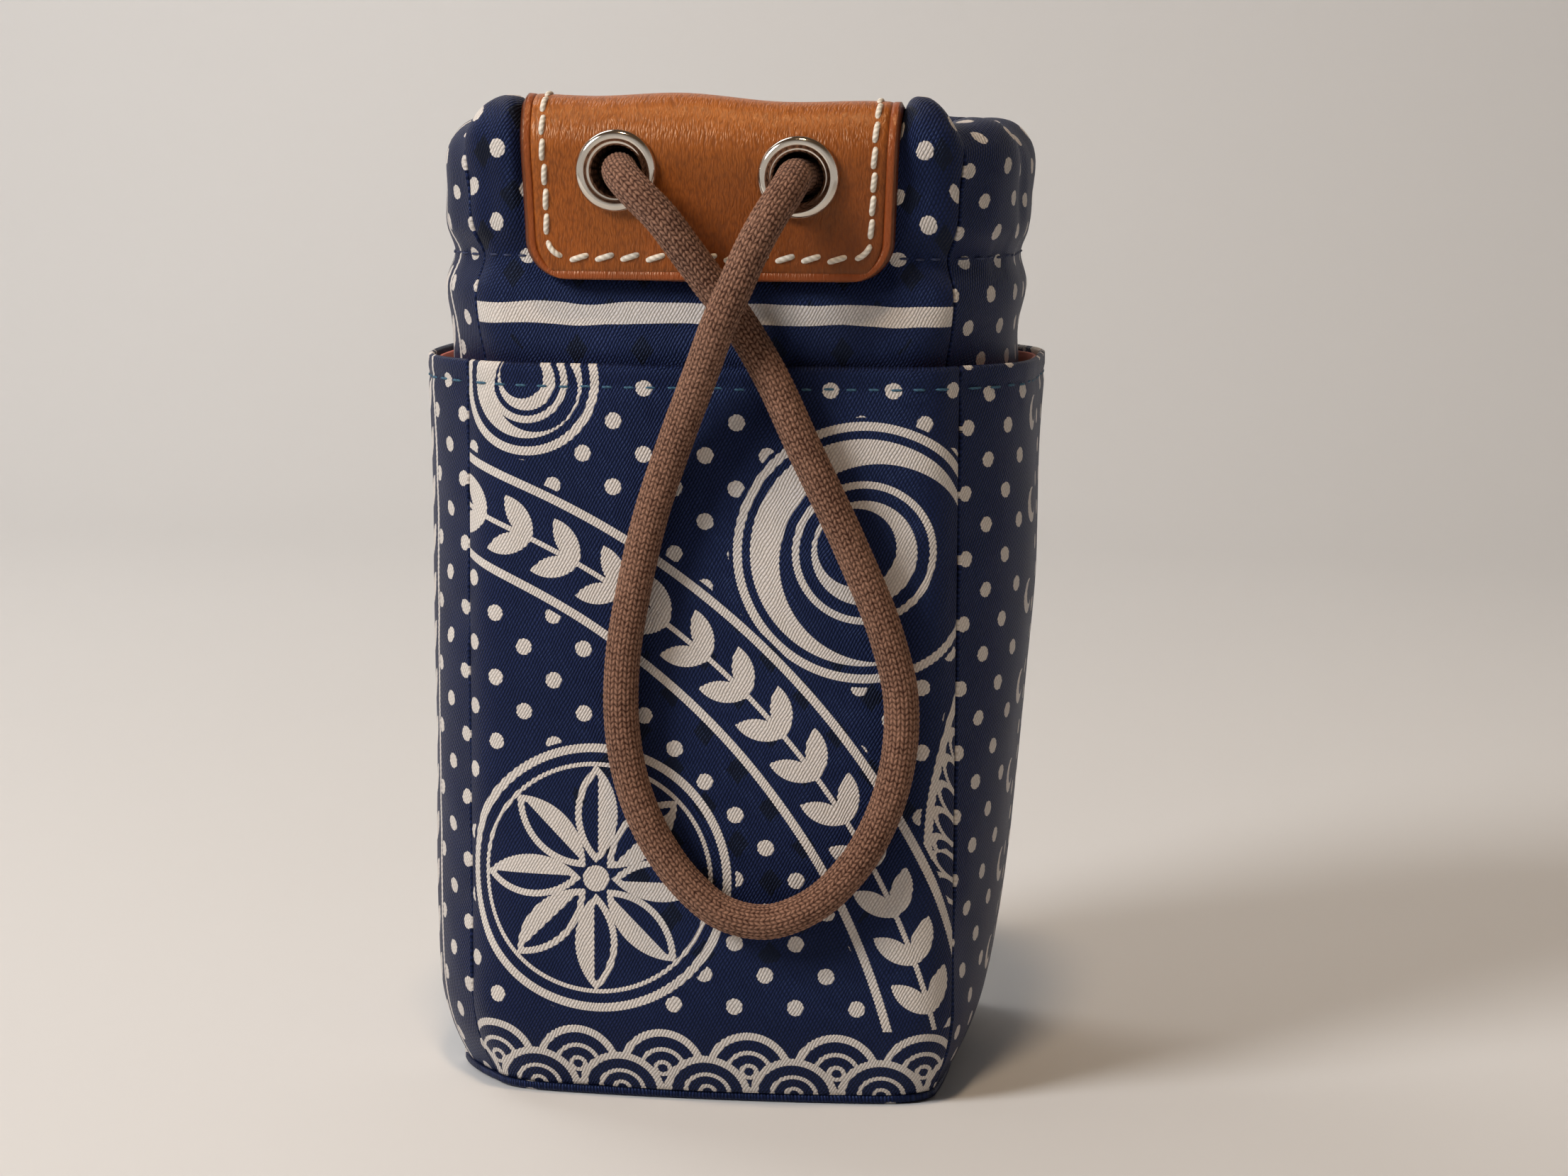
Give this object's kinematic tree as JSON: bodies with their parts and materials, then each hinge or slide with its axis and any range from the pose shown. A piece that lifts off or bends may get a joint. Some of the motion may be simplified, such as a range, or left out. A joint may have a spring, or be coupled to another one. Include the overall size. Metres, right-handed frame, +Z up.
{
  "type": "kinchaku drawstring pouch",
  "caption": "Square-bottomed cloth drawstring pouch in an outer pocket sleeve, with a leather tab, eyelets and one cord loop.",
  "frame": {"origin": "centre of the underside of the base", "axes": "+Z up, front with the leather tab and the cord faces -Y, +X to the right seen from the front"},
  "size_m": [0.0798, 0.0711, 0.1291],
  "materials": {
    "printed_twill": "navy diagonal twill with a cream line and dot print, slight sheen",
    "orange_lining": "plain orange-red lining cloth, matt",
    "tan_leather": "tan leather with a fine grain, darker burnished edge, cream saddle stitch",
    "nickel": "polished nickel plate",
    "brown_cotton": "round braided cotton cord, matt with a light fuzz"
  },
  "bodies": {
    "root": {"front_pocket_panel": "printed_twill", "right_pocket_panel": "printed_twill", "back_pocket_panel": "printed_twill", "left_pocket_panel": "printed_twill", "front_pocket_lining": "orange_lining", "right_pocket_lining": "orange_lining", "back_pocket_lining": "orange_lining", "left_pocket_lining": "orange_lining", "front_body_panel": "printed_twill", "right_body_panel": "printed_twill", "back_body_panel": "printed_twill", "left_body_panel": "printed_twill", "front_body_lining": "orange_lining", "right_body_lining": "orange_lining", "back_body_lining": "orange_lining", "left_body_lining": "orange_lining", "base_panel": "printed_twill", "base_lining": "orange_lining", "leather_tab": "tan_leather", "eyelet_left": "nickel", "eyelet_right": "nickel", "eyelet_washer_left": "nickel", "eyelet_washer_right": "nickel", "drawstring_loop": "brown_cotton", "drawstring_in_casing": "brown_cotton"}
  },
  "joints": []
}
